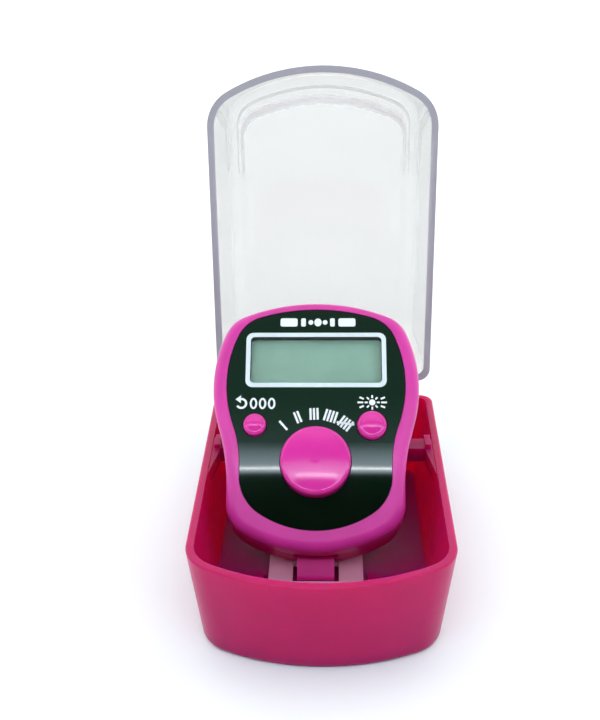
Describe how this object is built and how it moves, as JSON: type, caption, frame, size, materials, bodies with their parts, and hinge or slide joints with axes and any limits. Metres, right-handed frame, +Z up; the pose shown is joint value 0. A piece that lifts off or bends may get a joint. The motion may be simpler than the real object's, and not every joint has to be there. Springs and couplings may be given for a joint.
{
  "type": "hand tally counter",
  "caption": "Electronic finger tally counter with display, push buttons and finger band, resting tilted in its own plastic case with a hinged clear lid",
  "frame": {"origin": "centre of the case's flat underside", "axes": "+Z up out of the case, +Y from the bowed front towards the hinge, +X to the right seen from the front"},
  "size_m": [0.0412, 0.0951, 0.0766],
  "materials": {
    "case_pink": "gloss",
    "body_pink": "gloss",
    "button_pink": "satin",
    "clear": "clear",
    "panel_black": "gloss",
    "display": "grey-green",
    "white_plastic": "matte",
    "rubber_dark": "matte",
    "board_green": "satin",
    "resin": "gloss",
    "steel": "brushed",
    "band": "translucent"
  },
  "bodies": {
    "case": {"case_base": "case_pink", "hinge_pin": "steel"},
    "lid": {"case_lid": "clear"},
    "counter": {"front_housing": "body_pink", "rear_housing": "body_pink", "face_panel": "panel_black", "display_window": "clear", "display_front_glass": "display", "display_rear_glass": "display", "backlight_guide": "white_plastic", "contact_strip": "rubber_dark", "lamp": "white_plastic", "circuit_board": "board_green", "count_dome": "steel", "reset_dome": "steel", "light_dome": "steel", "chip_blob": "resin", "battery_left": "steel", "battery_right": "steel", "contact_positive": "steel", "contact_negative": "steel", "contact_bridge": "steel", "battery_cover": "body_pink", "battery_cover_screw": "steel", "housing_screws": "steel", "finger_band": "band"},
    "count_key": {"count_button": "button_pink"},
    "reset_key": {"reset_button": "button_pink"},
    "light_key": {"light_button": "button_pink"}
  },
  "joints": [
    {"name": "lid_hinge", "type": "hinge", "parent": "case", "child": "lid", "pos_m": [0, 0.0327, 0.0141], "axis": [-1, 0, 0], "range_deg": [-93, 0]},
    {"name": "counter_lift", "type": "slide", "parent": "case", "child": "counter", "axis": [0, 0, 1], "range_m": [0, 0.07]},
    {"name": "count_press", "type": "slide", "parent": "counter", "child": "count_key", "axis": [0, -0.6947, 0.7193], "range_m": [-0.0005, 0], "stiffness_N_per_m": 1500},
    {"name": "reset_press", "type": "slide", "parent": "counter", "child": "reset_key", "axis": [0, -0.6947, 0.7193], "range_m": [-0.0005, 0], "stiffness_N_per_m": 1200},
    {"name": "light_press", "type": "slide", "parent": "counter", "child": "light_key", "axis": [0, -0.6947, 0.7193], "range_m": [-0.0005, 0], "stiffness_N_per_m": 1200}
  ]
}
